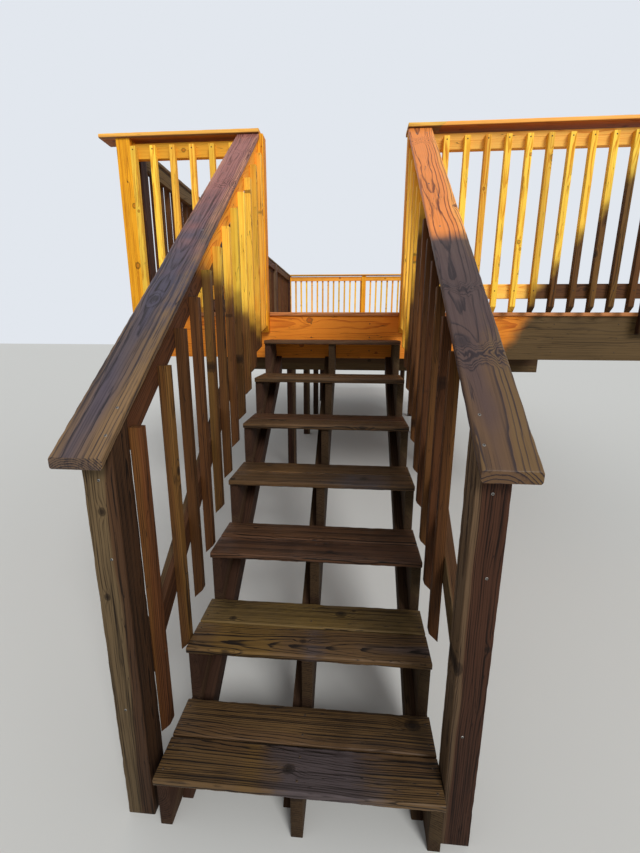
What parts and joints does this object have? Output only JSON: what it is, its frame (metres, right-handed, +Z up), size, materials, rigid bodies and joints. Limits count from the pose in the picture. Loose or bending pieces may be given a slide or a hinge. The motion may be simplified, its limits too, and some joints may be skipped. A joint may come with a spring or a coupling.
{
  "type": "wooden deck stairs",
  "caption": "Open timber stair with cut stringers and sloped baluster guards, rising to a raised timber deck with level guards on posts and beams.",
  "frame": {"origin": "on the ground, at the middle of the foot of the centre stringer", "axes": "+Y runs up the stair towards the deck, +X to the right of a person climbing, +Z up"},
  "size_m": [3.566, 8.748, 2.751],
  "materials": {
    "framing_wood": "rough sawn",
    "tread_wood": "worn and damp",
    "post_wood": "planed",
    "cap_wood": "planed",
    "rail_wood": "planed",
    "baluster_wood": "planed",
    "rim_wood": "planed",
    "deck_wood": "planed"
  },
  "bodies": {
    "root": {"stringer_left": "framing_wood", "stringer_center": "framing_wood", "stringer_right": "framing_wood", "stringer_braces": "framing_wood", "tread_1": "tread_wood", "tread_2": "tread_wood", "tread_3": "tread_wood", "tread_4": "tread_wood", "tread_5": "tread_wood", "tread_6": "tread_wood", "tread_7": "tread_wood", "newel_left": "post_wood", "newel_right": "post_wood", "stair_cap_left": "cap_wood", "stair_cap_right": "cap_wood", "stair_rails_left": "rail_wood", "stair_rails_right": "rail_wood", "stair_balusters_left": "baluster_wood", "stair_balusters_right": "baluster_wood", "front_rim": "rim_wood", "back_rim": "rim_wood", "left_rim": "rim_wood", "ledger": "framing_wood", "joists": "framing_wood", "beams": "framing_wood", "deck_posts": "post_wood", "deck_boards": "deck_wood", "stair_post_left": "post_wood", "stair_post_right": "post_wood", "corner_post": "post_wood", "end_post": "post_wood", "left_guard_posts": "post_wood", "back_guard_posts": "post_wood", "front_left_rails": "rail_wood", "front_left_balusters": "baluster_wood", "front_left_cap": "cap_wood", "front_right_rails": "rail_wood", "front_right_balusters": "baluster_wood", "front_right_cap": "cap_wood", "left_guard_rails": "rail_wood", "left_guard_balusters": "baluster_wood", "left_guard_cap": "cap_wood", "back_guard_rails": "rail_wood", "back_guard_balusters": "baluster_wood", "back_guard_cap": "cap_wood"}
  },
  "joints": []
}
